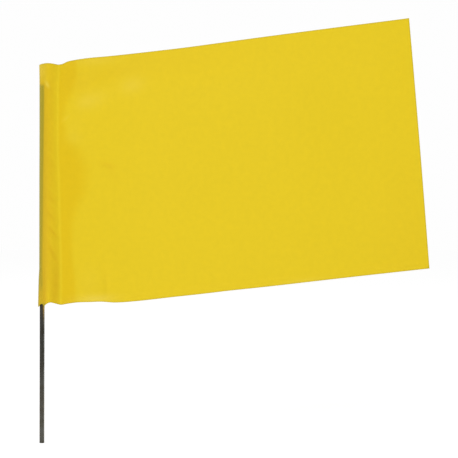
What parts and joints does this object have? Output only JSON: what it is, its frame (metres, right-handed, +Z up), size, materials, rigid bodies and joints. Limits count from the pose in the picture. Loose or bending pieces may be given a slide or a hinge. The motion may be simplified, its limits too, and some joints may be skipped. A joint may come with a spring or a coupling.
{
  "type": "wire stake marking flag",
  "caption": "Plain plastic-film marking flag whose folded, heat-sealed hoist edge makes a loose sleeve round a thin steel wire staff.",
  "frame": {"origin": "centre of the staff's lower end", "axes": "+Z up the staff; +X from the staff towards the fly edge of the film; the front of the film faces -Y"},
  "size_m": [0.1601, 0.019, 0.1748],
  "materials": {
    "dark_steel_wire": "bare drawn steel wire, dull dark grey-brown with light tarnish",
    "yellow_film": "thin yellow film with a fine matte grain, slightly see-through"
  },
  "bodies": {
    "staff": {"staff_wire": "dark_steel_wire"},
    "sleeve": {"film_sleeve": "yellow_film"},
    "hoist_panel": {"film_panel_hoist": "yellow_film"},
    "fly_panel": {"film_panel_fly": "yellow_film"}
  },
  "joints": [
    {"name": "sleeve_swivel", "type": "hinge", "parent": "staff", "child": "sleeve", "pos_m": [0, 0, 0.1], "axis": [0, 0, 1], "continuous": true},
    {"name": "hem_bend", "type": "hinge", "parent": "sleeve", "child": "hoist_panel", "pos_m": [0.0161, -0.00006, 0.1], "axis": [0, 0, 1], "range_deg": [-75, 75], "stiffness_Nm_per_rad": 0.0006},
    {"name": "fly_bend", "type": "hinge", "parent": "hoist_panel", "child": "fly_panel", "pos_m": [0.083, -0.00717, 0.12], "axis": [0, 0, 1], "range_deg": [-75, 75], "stiffness_Nm_per_rad": 0.0003}
  ]
}
